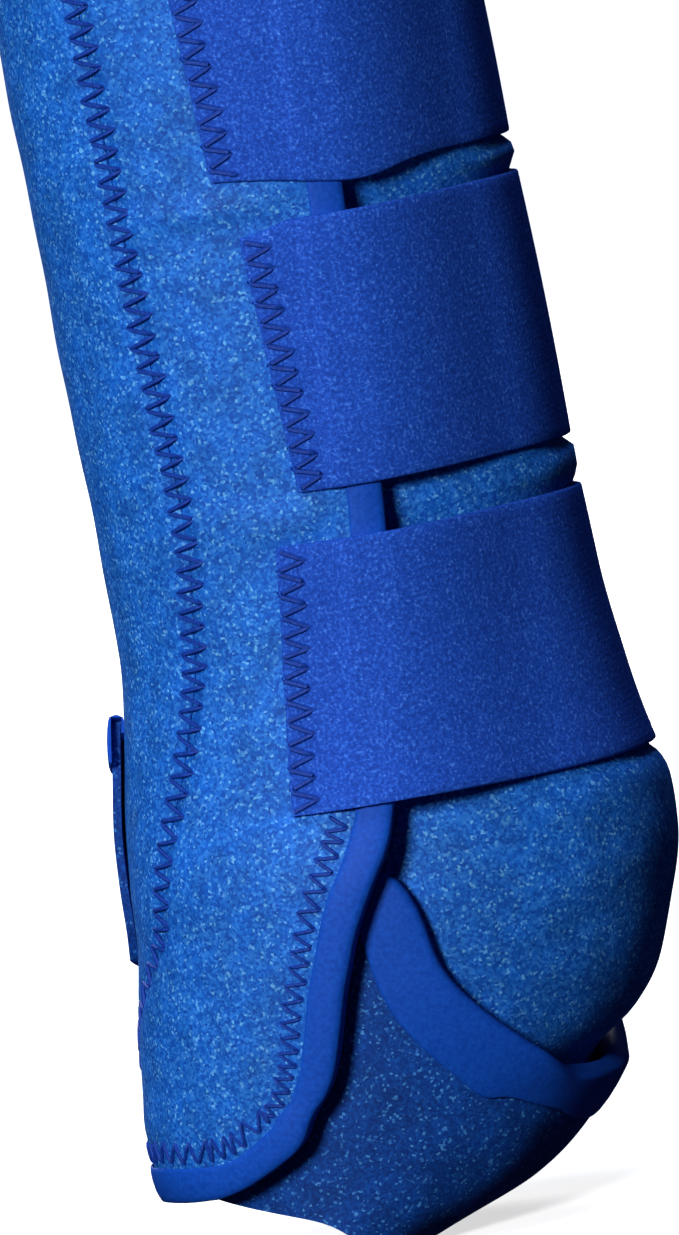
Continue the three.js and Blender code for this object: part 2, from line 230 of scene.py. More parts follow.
# %% [markdown]
# ## Laying a flat piece on the form
# A panel of neoprene starts as a flat grid, cut on a table. One extrusion gives it its thickness, and every
# corner of that slab is then carried to its place on the leg: its first coordinate runs round the leg, its
# second up it, and its third through the material. The straps and hook tapes, whose cut rims show, have
# them rounded by a small bevel. Most other rims lie under binding tape or in a seam.

# %% Slabs, and how they are finished
def only(piece):
    bpy.ops.object.select_all(action="DESELECT")
    piece.select_set(True)
    bpy.context.view_layer.objects.active = piece


def corners(piece):
    co = np.empty(len(piece.data.vertices) * 3)
    piece.data.vertices.foreach_get("co", co)
    return co.reshape(-1, 3)


def place_corners(piece, points):
    piece.data.vertices.foreach_set("co", np.asarray(points, float).reshape(-1))
    piece.data.update()


def turn_faces_out(piece):
    only(piece)
    bpy.ops.object.mode_set(mode="EDIT")
    bpy.ops.mesh.select_all(action="SELECT")
    bpy.ops.mesh.normals_make_consistent(inside=False)
    bpy.ops.object.mode_set(mode="OBJECT")


def apply_modifier(piece, kind, **settings):
    modifier = piece.modifiers.new(kind.title(), kind)
    for key, value in settings.items():
        setattr(modifier, key, value)
    only(piece)
    bpy.ops.object.modifier_apply(modifier=modifier.name)


def flat_slab(name, columns, rows):
    bpy.ops.object.select_all(action="DESELECT")
    bpy.ops.mesh.primitive_grid_add(x_subdivisions=columns, y_subdivisions=rows, size=1)
    slab = bpy.context.active_object
    slab.name = name
    bpy.ops.object.mode_set(mode="EDIT")
    bpy.ops.mesh.select_all(action="SELECT")
    bpy.ops.mesh.extrude_region_move(TRANSFORM_OT_translate={"value": (0, 0, 1)})
    bpy.ops.object.mode_set(mode="OBJECT")
    return slab


def finish_piece(piece, material, rim=0.0, smooth=50):
    turn_faces_out(piece)
    if rim:
        apply_modifier(piece, "BEVEL", width=rim / 1000, segments=2, limit_method="ANGLE",
                       angle_limit=math.radians(50), use_clamp_overlap=True)
    only(piece)
    bpy.ops.object.shade_smooth_by_angle(angle=math.radians(smooth))
    piece.data.materials.clear()
    piece.data.materials.append(material)
    print("made", piece.name, "with", len(piece.data.polygons), "faces")
    return piece


def at_point(value, angle, height):
    return value(angle, height) if callable(value) else value


def lay_panel(name, sides, ends, inner, outer, columns, rows):
    """sides: two functions of height. ends: two functions of angle. inner, outer: standoffs."""
    slab = flat_slab(name, columns, rows)
    across, along, through = (corners(slab) + [0.5, 0.5, 0]).T
    height = np.full(len(across), (ends[0](OUTER_SIDE) + ends[1](OUTER_SIDE)) / 2)
    angle = sides[0](height) * (1 - across) + sides[1](height) * across
    for _ in range(12):  # the sides and ends depend on each other, so the grid settles in a few passes
        height = ends[0](angle) * (1 - along) + ends[1](angle) * along
        angle = sides[0](height) * (1 - across) + sides[1](height) * across
    low, high = at_point(inner, angle, height), at_point(outer, angle, height)
    place_corners(slab, on_form(angle, height, low + (high - low) * through))
    return slab


def level(value):
    return lambda at: value + 0 * np.asarray(at, float)


# %% [markdown]
# ## Tape and thread
# Binding tape is folded over an edge, so its cross-section is a U; thread is round. Both are the same job
# for a modeller: one closed outline carried along a path. A grid is rolled up into that tube, its long
# edges are merged, and its two open ends are filled.

# %% Rolled-up grids
def roll(name, rings):
    """A closed skin through rings of points: an array of ring, corner and X, Y, Z."""
    steps, corners_in_ring = rings.shape[:2]
    bpy.ops.object.select_all(action="DESELECT")
    bpy.ops.mesh.primitive_grid_add(x_subdivisions=steps - 1, y_subdivisions=corners_in_ring, size=1)
    piece = bpy.context.active_object
    piece.name = name
    co = corners(piece)
    i = np.rint((co[:, 0] + 0.5) * (steps - 1)).astype(int)
    j = np.rint((co[:, 1] + 0.5) * corners_in_ring).astype(int) % corners_in_ring
    place_corners(piece, rings[i, j])
    bpy.ops.object.mode_set(mode="EDIT")
    bpy.ops.mesh.select_all(action="SELECT")
    bpy.ops.mesh.remove_doubles(threshold=0.000001)
    bpy.ops.mesh.select_all(action="SELECT")
    bpy.ops.mesh.fill_holes(sides=0)
    bpy.ops.object.mode_set(mode="OBJECT")
    return piece


def beside(path, t, side):
    """Angle and height of points a number of millimetres to one side of a path."""
    angle, height = path(t)
    before, after = path(np.maximum(t - 0.004, 0)), path(np.minimum(t + 0.004, 1))
    around, up, normal = form_directions(angle, height)
    along = around * (after[0] - before[0])[..., None] + up * (after[1] - before[1])[..., None]
    along = along / np.linalg.norm(along, axis=-1, keepdims=True)
    across = np.cross(normal, along)
    turn = (across * around).sum(-1) / (around * around).sum(-1)
    rise = ((across * up).sum(-1) - turn * (around * up).sum(-1)) / (up * up).sum(-1)
    return angle + turn * side, height + rise * side


def fold_tape(name, path, inner, outer, face, back, steps, side, rise):
    """Binding folded over an edge. face and back are the widths of its outer and inner legs."""
    thick, gap = BINDING, 0.25
    top, under = outer + thick, inner - thick
    middle = (inner + outer) / 2
    section = np.array([
        (face, outer + 0.05), (face - 0.15, top - 0.15), (face - 0.7, top), (face * 0.75, top + 0.12),
        (face * 0.5, top + 0.2), (face * 0.25, top + 0.15), (0.6, top), (-0.3, top - 0.25),
        (-gap - thick * 0.8, outer - 0.6), (-gap - thick, middle), (-gap - thick * 0.8, inner + 0.6),
        (-0.3, under + 0.25), (0.6, under), (back, under), (back, inner), (-gap, inner), (-gap, outer),
    ])
    t = np.linspace(0, 1, steps + 1)
    inward = np.repeat(section[None, :, 0], len(t), 0)
    angle, height = beside(path, np.repeat(t[:, None], len(section), 1), side * inward)
    return roll(name, on_form(angle, height, section[None, :, 1] + at_point(rise, angle, height)))


def zigzag(name, path, length, width, shift, rise, pitch=4.4, thread=0.48, start=0.0):
    """A row of zigzag stitches: one thread that dips into the cloth at each turn."""
    turns = max(2, round(2 * length / pitch))
    parts = 6
    n = np.arange(turns * parts + 1)
    t = n / n[-1]
    phase = (n % (2 * parts)) / parts
    swing = 1 - 2 * np.abs(1 - phase)
    wobble = 0.12 * np.sin(n // parts * 2.4 + start)
    angle, height = beside(path, t, shift + swing * width / 2 * (1 + wobble))
    dip = np.abs(swing) ** 6
    standoff = at_point(rise, angle, height) + 0.28 - 0.75 * dip
    centre = on_form(angle, height, standoff)
    normal = form_directions(angle, height)[2]
    along = np.gradient(centre, axis=0)
    along /= np.linalg.norm(along, axis=1, keepdims=True)
    across = np.cross(normal, along)
    across /= np.linalg.norm(across, axis=1, keepdims=True)
    ring = np.linspace(0, 2 * np.pi, 7)[:-1]
    rings = centre[:, None] + thread / 1000 * (
        across[:, None] * np.cos(ring)[None, :, None] + normal[:, None] * np.sin(ring)[None, :, None])
    return roll(name, rings)


# %% [markdown]
# ## Colours and one helper for nodes
# Cloth colours are written as they would be picked on a screen and turned to linear light once. One small
# function adds a node with its settings and its links.

# %% Colour and node helpers
def colour(hex_code):
    parts = [int(hex_code[i:i + 2], 16) / 255 for i in (1, 3, 5)]
    return (*[p / 12.92 if p <= 0.04045 else ((p + 0.055) / 1.055) ** 2.4 for p in parts], 1.0)


def add_node(material, kind, settings=None, inputs=None):
    tree = material.node_tree
    made = tree.nodes.new(kind)
    for key, value in (settings or {}).items():
        setattr(made, key, value)
    for key, value in (inputs or {}).items():
        if isinstance(value, bpy.types.NodeSocket):
            tree.links.new(value, made.inputs[key])
        else:
            made.inputs[key].default_value = value
    return made


def new_material(name, roughness, **sockets):
    material = bpy.data.materials.new(name)
    material.use_nodes = True
    shader = material.node_tree.nodes["Principled BSDF"]
    shader.inputs["Roughness"].default_value = roughness
    for key, value in sockets.items():
        shader.inputs[key.replace("_", " ")].default_value = value
    place = add_node(material, "ShaderNodeTexCoord").outputs["Object"]
    return material, shader, place


def stops(ramp_node, rows):
    band = ramp_node.color_ramp
    while len(band.elements) < len(rows):
        band.elements.new(1.0)
    for element, (position, code) in zip(band.elements, rows):
        element.position = position
        element.color = colour(code)


# %% [markdown]
# ## Glitter neoprene
# The face of the boot is a knit printed with glitter, glued to foam rubber. Real flakes are about 0.2 mm,
# too fine to show here, so the grains are drawn about half a millimetre across. Each grain takes its own
# shade between deep and light azure, partly the cloth's own uneven colour and partly painted sparkle; a
# few are painted glints in pale blue. Each grain also tips the surface a little, so that the face sparkles
# instead of shining. Faint mottling, some 7 mm across, keeps it from looking printed. The sling's knit is
# the same cloth with finer grains, its colours painted darker for the shade it lies in, facing down.

# %% Glitter knit on neoprene
BOOT_GRAIN, SLING_GRAIN = 0.55, 0.5    # millimetres
MOTTLE_SCALE = 150.0                   # patches of about 7 mm


def glitter_cloth(name, shades, painted_glint, grain, roughness):
    material, shader, place = new_material(name, roughness, Specular_IOR_Level=0.2, IOR=1.5)
    cells = add_node(material, "ShaderNodeTexVoronoi", {"feature": "F1"},
                     {"Vector": place, "Scale": 1000 / grain, "Randomness": 1.0})
    pick = add_node(material, "ShaderNodeSeparateColor", None, {"Color": cells.outputs["Color"]})
    band = add_node(material, "ShaderNodeValToRGB", None, {"Fac": pick.outputs["Red"]})
    # The last stop is a painted glint: a few grains are coloured pale blue as if catching the light.
    stops(band, [(0.0, shades[0]), (0.5, shades[1]), (0.9, shades[2]), (1.0, painted_glint)])
    patches = add_node(material, "ShaderNodeTexNoise", None,
                       {"Vector": place, "Scale": MOTTLE_SCALE, "Detail": 3.0, "Roughness": 0.65})
    spread = add_node(material, "ShaderNodeMapRange", None,
                      {"Value": patches.outputs["Fac"], "From Min": 0.35, "From Max": 0.65,
                       "To Min": 0.78, "To Max": 1.1})
    shade = add_node(material, "ShaderNodeMix", {"data_type": "RGBA", "blend_type": "MULTIPLY"},
                     {"Factor": 1.0, "A": band.outputs["Color"], "B": spread.outputs["Result"]})
    material.node_tree.links.new(shade.outputs["Result"], shader.inputs["Base Color"])
    tilt = add_node(material, "ShaderNodeBump", None,
                    {"Height": pick.outputs["Green"], "Strength": 0.35, "Distance": 0.0004})
    material.node_tree.links.new(tilt.outputs["Normal"], shader.inputs["Normal"])
    return material


glitter_neoprene = glitter_cloth(
    "glitter knit bonded to neoprene", ("#0a4cb0", "#1266cc", "#2f80de"), "#64b0ee",
    BOOT_GRAIN, 0.65)
# The sling's shades are painted darker than its cloth, for the shade it lies in as it faces down under the
# fetlock.
sling_glitter_painted_shade = glitter_cloth(
    "fine glitter knit of the sling with painted shade", ("#043484", "#074197", "#0f50ab"), "#4690da",
    SLING_GRAIN, 0.7)
print("glitter cloths:", glitter_neoprene.name, "and", sling_glitter_painted_shade.name)

# %% [markdown]
# ## Strap elastic, binding tape and thread
# The straps are brushed elastic: a short nap over fine ribs that run along the strap, every 1.2 mm. The nap
# scatters the light, so a strap looks matt and more violet than the shell. Real fibres of it are far under
# a millimetre and wouldn't show, so its tufts are drawn 0.7 mm across; their tone varies, and the palest
# tufts are painted sparkle. Binding tape is smooth stretch knit with a soft sheen, its blue painted darker
# for the shade the straps cast over it. The thread is a thick twist, painted dark blue for the shade in the
# stitch grooves. The lining is brushed nylon, near black. Hook tape is moulded nylon, a little shinier, and
# its hooks are shown only as a coarse grain.

# %% Brushed strap elastic
NAP_SCALE = 1500.0                           # tufts of about 0.7 mm
RIB_SPACING = 0.0012                         # metres
RIB_SCALE = 2 * math.pi / RIB_SPACING / 20   # a wave texture repeats every 2 pi / 20 at scale 1


def strap_cloth():
    material, shader, place = new_material("brushed strap elastic", 0.8, Specular_IOR_Level=0.2)
    nap = add_node(material, "ShaderNodeTexNoise", None,
                   {"Vector": place, "Scale": NAP_SCALE, "Detail": 2.0, "Roughness": 0.7})
    band = add_node(material, "ShaderNodeValToRGB", None, {"Fac": nap.outputs["Fac"]})
    # The nap's tone varies at random; the palest stop is painted sparkle, light specks standing in for
    # glints.
    stops(band, [(0.30, "#0e3b9e"), (0.50, "#184dbe"), (0.62, "#2863d6"), (0.75, "#5a92f0")])
    ribs = add_node(material, "ShaderNodeTexWave", {"wave_type": "BANDS", "bands_direction": "Z"},
                    {"Vector": place, "Scale": RIB_SCALE, "Distortion": 0.4, "Detail": 1.0})
    shade = add_node(material, "ShaderNodeMix", {"data_type": "RGBA", "blend_type": "MULTIPLY"},
                     {"Factor": 0.06, "A": band.outputs["Color"], "B": ribs.outputs["Color"]})
    material.node_tree.links.new(shade.outputs["Result"], shader.inputs["Base Color"])
    low = add_node(material, "ShaderNodeBump", None,
                   {"Height": ribs.outputs["Fac"], "Strength": 0.06, "Distance": 0.0002})
    high = add_node(material, "ShaderNodeBump", None,
                    {"Height": nap.outputs["Fac"], "Strength": 0.35, "Distance": 0.0003,
                     "Normal": low.outputs["Normal"]})
    material.node_tree.links.new(high.outputs["Normal"], shader.inputs["Normal"])
    return material


strap_elastic = strap_cloth()

# %% Smooth binding, thread, lining and hook tape
def fine_cloth(name, dark, light, grain, roughness, bump, **sockets):
    material, shader, place = new_material(name, roughness, **sockets)
    knit = add_node(material, "ShaderNodeTexNoise", None,
                    {"Vector": place, "Scale": 1000 / grain, "Detail": 2.0, "Roughness": 0.6})
    band = add_node(material, "ShaderNodeValToRGB", None, {"Fac": knit.outputs["Fac"]})
    stops(band, [(0.35, dark), (0.65, light)])
    material.node_tree.links.new(band.outputs["Color"], shader.inputs["Base Color"])
    grain_bump = add_node(material, "ShaderNodeBump", None,
                          {"Height": knit.outputs["Fac"], "Strength": bump, "Distance": 0.0003})
    material.node_tree.links.new(grain_bump.outputs["Normal"], shader.inputs["Normal"])
    return material


# The tape's royal blue is painted darker by about a quarter, for the shade the straps cast over it.
binding_tape = fine_cloth("smooth stretch binding tape", "#0b46b0", "#1253c2", 0.9, 0.6, 0.15,
                          Specular_IOR_Level=0.15)
# The thread is painted darker than its own mid blue, for the shade in the grooves it sinks into.
sewing_thread = fine_cloth("twisted polyester thread", "#0a308c", "#1444a8", 0.5, 0.6, 0.4,
                           Specular_IOR_Level=0.2)
soft_lining = fine_cloth("brushed nylon lining", "#0e131c", "#1b2230", 0.8, 0.85, 0.3)
hook_plastic = fine_cloth("moulded nylon hooks", "#0a0d14", "#1d2330", 1.2, 0.45, 0.8)
print("cloths:", strap_elastic.name, binding_tape.name, sewing_thread.name)

# %% [markdown]
# ## The shell and the ball
# The shell wraps the tendons from the outer side, round the back, to a seam on the inner side. Its lower
# part is a separate cup, cut fuller so that it balloons over the fetlock. Foam bulges where nothing holds
# it and lies flat where a strap presses on it, so the outer face is not simply the form: it rises a little
# between the straps. Rises worked out by formula are quicker and steadier here than a cloth simulation,
# because the foam is only 4 mm thick and the leg inside decides its shape.

# %% Cannon shell
def ripple(angle, height):
    slow = 0.16 * np.sin(0.11 * height + 0.05 * angle)
    return slow + 0.09 * np.sin(0.27 * height - 0.09 * angle + 1.3)


def full(angle):
    """How far the foam bulges between straps: most where they pull hardest, round the back."""
    return 1.1 + 1.0 * ramp(angle, 115, 165) * (1 - ramp(angle, 200, 235))


def free(angle, height):
    """1 where nothing presses on the shell: between the straps, and beyond their ends."""
    return bare(angle, height) + ramp(angle, TAB_END, TAB_END + 9) * (1 - bare(angle, height))


def below_top_tape(height):
    return ramp(TOP - height, 5, 12)


def cannon_face(angle, height):
    near_join = ramp(np.abs(height - CUP_JOIN), 0.5, 8)
    side_seam = ramp(TURN + MEDIAL_SEAM - angle, 0, 6)
    loose = free(angle, height) * near_join * below_top_tape(height) * side_seam
    return loose * (full(angle) + ripple(angle, height))


cannon_shell = finish_piece(
    lay_panel("cannon_shell", (level(INNER_END), level(TURN + MEDIAL_SEAM)),
              (level(CUP_JOIN + 0.1), level(TOP)), -SHELL, cannon_face, 104, 96),
    glitter_neoprene)
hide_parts("tendon_shell")
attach(cannon_shell, "boot_shell")

# %% Fetlock ball
def ball_face(angle, height):
    above_sling = ramp(height - sling_top(angle), -2, 15)
    near_join = ramp(CUP_JOIN - height, 0.5, 8)
    return free(angle, height) * near_join * above_sling * (0.9 + ripple(angle, height * 1.4))


fetlock_ball = finish_piece(
    lay_panel("fetlock_ball", (level(INNER_END), level(TURN + MEDIAL_SEAM)),
              (cup_bottom, level(CUP_JOIN - 0.1)), -SHELL, ball_face, 120, 48),
    glitter_neoprene)
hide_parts("fetlock_cup")
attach(fetlock_ball, "boot_shell")

# %% [markdown]
# ## The front guard and the closing panel
# The front guard covers the cannon bone from the inner seam to a long zigzag seam. The closing panel goes
# on from there, over the shell's inner end, and runs down into a rounded tongue. Both pieces are pulled
# down into the seam where they meet.

# %% Front guard
SEAM_GROOVE, SEAM_REACH = 0.8, 4.0


def seam_pull(angle, height):
    return SEAM_GROOVE * (1 - ramp(np.abs(angle - seam_angle(height)), 0, SEAM_REACH))


def front_face(angle, height):
    low_rim = ramp(height - front_bottom(angle), 7, 15)
    rims = low_rim * below_top_tape(height) * ramp(angle - MEDIAL_SEAM, 1, 8)
    return lift(angle, height) + rims * (0.3 + ripple(angle, height)) - seam_pull(angle, height)


front_guard = finish_piece(
    lay_panel("front_guard", (level(MEDIAL_SEAM + 0.2), lambda z: seam_angle(z) - 0.06),
              (front_bottom, level(TOP)), lambda a, z: lift(a, z) - SHELL, front_face, 56, 120),
    glitter_neoprene)
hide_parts("front_shell")
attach(front_guard, "boot_shell")


def flap_standoff(angle, height):
    return np.where(angle < INNER_END, lift(angle, height), panel_face(angle, height))


def flap_face(angle, height):
    from_edge = ramp(panel_edge(height) - angle, 9, 18)
    low_rim = ramp(height - front_bottom(angle), 8, 15)
    rims = from_edge * low_rim * below_top_tape(height)
    puff = rims * bare(angle, height) * (0.45 + ripple(angle, height))
    return flap_standoff(angle, height) + puff - seam_pull(angle, height)


closing_flap_panel = finish_piece(
    lay_panel("closing_flap_panel", (lambda z: seam_angle(z) + 0.06, panel_edge),
              (front_bottom, level(TOP)), lambda a, z: flap_standoff(a, z) - SHELL + CLEAR, flap_face,
              48, 150),
    glitter_neoprene)
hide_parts("closing_panel_root", "closing_panel")
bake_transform(closing_flap_panel)

# %% [markdown]
# ## Linings
# Inside, a thin brushed knit faces the leg. It is one cloth with the foam on the real boot; here each
# lining is its own thin sheet just inside its panel, so that the inside can have its own finish. The one
# in the closing panel is thinner, to leave room over the shell's inner end.

# %% Linings
def line_with(name, sides, ends, outer, thick, columns, rows):
    lining = finish_piece(
        lay_panel(name, sides, ends, lambda a, z: outer(a, z) - thick, outer, columns, rows),
        soft_lining)
    return lining


def inside(depth):
    return lambda a, z: -depth + 0 * a


LINING_END = TURN + MEDIAL_SEAM - 0.4
HEM = 0.5  # a lining stops this far short of the edge that the tape binds

cannon_lining = line_with(
    "cannon_lining", (level(INNER_END + 1), level(LINING_END)),
    (level(CUP_JOIN + 0.1), level(TOP - HEM)), inside(SHELL + CLEAR), LINING, 60, 40)
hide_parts("tendon_lining")
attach(cannon_lining, "boot_shell")

ball_lining = line_with(
    "ball_lining", (level(INNER_END + 1), level(LINING_END)),
    (lambda a: cup_bottom(a) + HEM, level(CUP_JOIN - 0.1)), inside(SHELL + CLEAR), LINING, 60, 30)
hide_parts("fetlock_cup_lining")
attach(ball_lining, "boot_shell")

front_guard_lining = line_with(
    "front_guard_lining", (level(MEDIAL_SEAM + 0.4), lambda z: seam_angle(z) - 0.1),
    (lambda a: front_bottom(a) + HEM, level(TOP - HEM)), lambda a, z: lift(a, z) - SHELL - CLEAR,
    LINING, 36, 70)
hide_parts("front_lining")
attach(front_guard_lining, "boot_shell")

closing_flap_lining = line_with(
    "closing_flap_lining",
    (lambda z: seam_angle(z) + 0.1, lambda z: panel_edge(z) - 0.3),
    (lambda a: front_bottom(a) + HEM, level(TOP - HEM)), lambda a, z: flap_standoff(a, z) - SHELL,
    FLAP_LINING, 36, 90)
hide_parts("closing_panel_lining")
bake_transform(closing_flap_lining)

# %% [markdown]
# ## Edge tapes
# The raw edges of the shell and the panel are bound with smooth stretch tape: round the top, round the hem
# of the ball, and in one long run down the closing panel's free edge, round the tongue and back under the
# front. One function folds them all. Where the tape turns the tongue's tip, its path is a rounded corner.

# %% Tape round the top and the ball's hem
SHELL_TAPE_START, SHELL_TAPE_END = 61, 410    # angles: the top tape runs right round and on over the front
FLAP_TAPE_START, FLAP_TAPE_END = 50.6, 106
HEM_END = 298
LEG_IN, LEG_OUT = 5, 6                        # widths of the top tape inside and outside
TAPE_CLEAR = 0.3                              # room between a panel's face and the tape over it


def level_run(start, end):
    return lambda t: (start + (end - start) * t, TOP + 0 * t)


top_tape = finish_piece(
    fold_tape("top_edge_tape", level_run(SHELL_TAPE_START, SHELL_TAPE_END), -SHELL - 1.5, TAPE_CLEAR,
              LEG_OUT, LEG_IN, 150, -1, lambda a, z: np.where(a > 250, lift(a, z), 0)),
    binding_tape, smooth=70)
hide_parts("top_binding")
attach(top_tape, "boot_shell")

flap_top_tape = finish_piece(
    fold_tape("flap_top_tape", level_run(FLAP_TAPE_START, FLAP_TAPE_END), -SHELL - 0.9, TAPE_CLEAR,
              LEG_OUT, LEG_IN, 36, -1, panel_face),
    binding_tape, smooth=70)
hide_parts("panel_top_binding")
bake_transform(flap_top_tape)


def ball_hem(t):
    angle = SHELL_TAPE_START + (HEM_END - SHELL_TAPE_START) * t
    return angle, cup_bottom(angle)


ball_hem_tape = finish_piece(
    fold_tape("ball_hem_tape", ball_hem, -SHELL - 1.4, TAPE_CLEAR, 4, 4, 90, 1, 0),
    binding_tape, smooth=70)
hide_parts("cup_binding")
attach(ball_hem_tape, "boot_shell")

# %% Tape down the free edge and round the tongue
def rounded_line(points):
    """A smooth line through points, run along at an even pace."""
    p = np.array(points, float)
    p = np.vstack([2 * p[0] - p[1], p, 2 * p[-1] - p[-2]])
    parts = []
    t = np.linspace(0, 1, 24, endpoint=False)[:, None]
    for a, b, c, d in zip(p, p[1:], p[2:], p[3:]):
        parts.append(0.5 * (2 * b + (c - a) * t + (2 * a - 5 * b + 4 * c - d) * t * t
                            + (3 * b - a - 3 * c + d) * t ** 3))
    line = np.vstack(parts + [p[-2][None]])
    placed = on_form(line[:, 0], line[:, 1], np.zeros(len(line)))
    gone = np.concatenate([[0], np.cumsum(np.linalg.norm(np.diff(placed, axis=0), axis=1))])
    return (lambda t: (np.interp(t, gone / gone[-1], line[:, 0]),
                       np.interp(t, gone / gone[-1], line[:, 1]))), gone[-1] * 1000


def down_the_edge(heights):
    return [(float(panel_edge(z)), z) for z in heights]


TONGUE_CORNER = [(69.0, 27.6)]
tongue_stops = [(angle, float(front_bottom(angle)))
                for angle in (66, 59, 51, 44, 30, 14, 0, -15, -30, -45, -59)]
edge_heights = (270, 250, 230, 210, 190, 170, 148, 128, 110, 98, 87, 77, 68, 60, 53, 46, 40, 34.5, 30)
edge_line, edge_length = rounded_line(down_the_edge(edge_heights) + TONGUE_CORNER + tongue_stops)

edge_tape = finish_piece(
    fold_tape("free_edge_and_tongue_tape", edge_line, -SHELL - 1.0, 0.4, BINDING_WIDTH, 4.5, 260, -1,
              flap_standoff),
    binding_tape, smooth=70)
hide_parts("tongue_binding", "panel_edge_binding")
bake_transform(edge_tape)
print("the free-edge tape is", round(edge_length), "mm long")

# %% [markdown]
# ## Zigzag seams
# A zigzag stitch joins two edges that butt together and still stretches with them. The long seam's row is
# 6 mm wide with a stitch every 4.4 mm. A narrower row runs beside the tape round the tongue. The thread
# is real geometry that dips into the foam at each turn, because a painted stitch looks flat from the side.

# %% Long seam, tongue and ball seams
SEAM_TOP, SEAM_LOW = TOP - 7, 21       # heights where the long row starts and ends
SEAM_ROW, TONGUE_ROW, HIDDEN_ROW = 6.0, 4.2, 5.0   # widths of the rows of zigzag
TONGUE_INSET = 8.5                     # from the tongue's edge to the middle of its row


def long_seam(t):
    height = SEAM_TOP + (SEAM_LOW - SEAM_TOP) * t
    return seam_angle(height), height


seam_stitches = finish_piece(
    zigzag("long_seam_stitches", long_seam, 265, SEAM_ROW, 0.0, lift),
    sewing_thread)
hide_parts("long_seam_stitching")
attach(seam_stitches, "boot_shell")

tongue_heights = (86, *edge_heights[-8:])
tongue_line, tongue_length = rounded_line(
    down_the_edge(tongue_heights) + TONGUE_CORNER + tongue_stops[:-1])
tongue_stitches = finish_piece(
    zigzag("tongue_stitches", tongue_line, tongue_length, TONGUE_ROW, -TONGUE_INSET, flap_face,
           pitch=3.4, thread=0.4),
    sewing_thread)
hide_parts("panel_edge_stitching", "tongue_stitching")
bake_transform(tongue_stitches)

ball_stitches = finish_piece(
    zigzag("ball_seam_stitches", lambda t: (239 + 58 * t, CUP_JOIN + 0 * t), 44, HIDDEN_ROW, 0.0, 0.0),
    sewing_thread)
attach(ball_stitches, "boot_shell")

inner_stitches = finish_piece(
    zigzag("inner_seam_stitches", lambda t: (MEDIAL_SEAM + 0.1 + 0 * t, SEAM_TOP - (TOP - 101) * t), 177,
           HIDDEN_ROW, 0.0, 0.0),
    sewing_thread)
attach(inner_stitches, "boot_shell")

# %% [markdown]
# ## Closing straps
# Each strap is 54 mm wide elastic. Its front end is sewn to the panel with a zigzag row over its cut edge.
# It is pulled over the panel's free edge, comes down from there to the shell in one long easy run, and goes
# on round the back. Its far end is a separate length, sewn on, that carries the hooks.

# %% Strap bands
SPAN = 40        # degrees over which a strap comes down from the panel's edge to the shell
ON_SHELL = 0.4   # room between a strap and the shell
ON_TAPE = 1.15   # height of a strap's inner face over the panel, where it lies on the free edge's tape


def make_strap(strap_name, mid, sewn_x, fold, lean, low_tuck, high_tuck):
    half = STRAP_WIDTH / 2

    def sewn(z):
        return angle_at(sewn_x + lean * (z - mid), z, panel_face(0, z))

    start = float(sewn(np.float64(mid)))

    def low(a):
        return (strap_middle(mid, a) - half + low_tuck * (1 - ramp(a, start, start + 24))
                - 1.3 * low_tuck * np.exp(-((np.asarray(a) - 108) / 12) ** 2))

    def high(a):
        return strap_middle(mid, a) + half - high_tuck * (1 - ramp(a, start, start + 12))

    def lower_face(a, z):
        edge = panel_edge(z)
        on_panel = flap_face(a, z) + CLEAR + 0.75 * ramp(a, edge - 12, edge - 7.5)
        on_panel = np.where(a > edge - 9, panel_face(a, z) + ON_TAPE, on_panel)
        fall = np.clip((a - edge - 1) / SPAN, 0, 1)
        fall = 0.35 * (1 - (1 - fall) ** 2) + 0.65 * ramp(fall, 0, 1)
        return on_panel + (ON_SHELL - on_panel) * fall

    def upper_face(a, z):
        across = np.clip((z - low(a)) / (high(a) - low(a)), 0, 1) * 2 - 1
        crown = 0.4 * (1 - across ** 2) * ramp(a, start + 4, start + 20) * ramp(TAB_ANGLE - a, 0, 12)
        sewn_down = 0.45 * (1 - ramp(a - sewn(z), 2, 8))
        tug = 0.16 * np.sin(across * 9 + 1) * (1 - ramp(a, start + 5, start + 45))
        return lower_face(a, z) + STRAP + crown - sewn_down + tug * ramp(1 - np.abs(across), 0, 0.2)

    band = finish_piece(
        lay_panel(strap_name + "_strap_elastic", (sewn, level(TAB_ANGLE - 0.05)), (low, high),
                  lower_face, upper_face, 110, 24),
        strap_elastic, rim=0.55)
    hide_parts(strap_name + "_strap_root", strap_name + "_strap_band")
    hinge_x = float(on_form(fold, mid, 4.0)[0])
    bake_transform(band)

    def row(t):
        z = strap_middle(mid, start) + half - high_tuck - 0.6
        z = z + (strap_middle(mid, start) - half + low_tuck + 0.6 - z) * t
        return sewn(z), z

    stitches = finish_piece(
        zigzag(strap_name + "_strap_stitches", row, STRAP_WIDTH - 1 - low_tuck, 5.2, 2.5,
               lambda a, z: np.where(a < sewn(z) + 0.3, flap_face(a, z), upper_face(a, z)),
               thread=0.56, start=mid),
        sewing_thread)
    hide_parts(strap_name + "_strap_stitching")
    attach(stitches, "closing_flap")
    return low, high


strap_edges = {row[0]: make_strap(*row) for row in STRAPS}

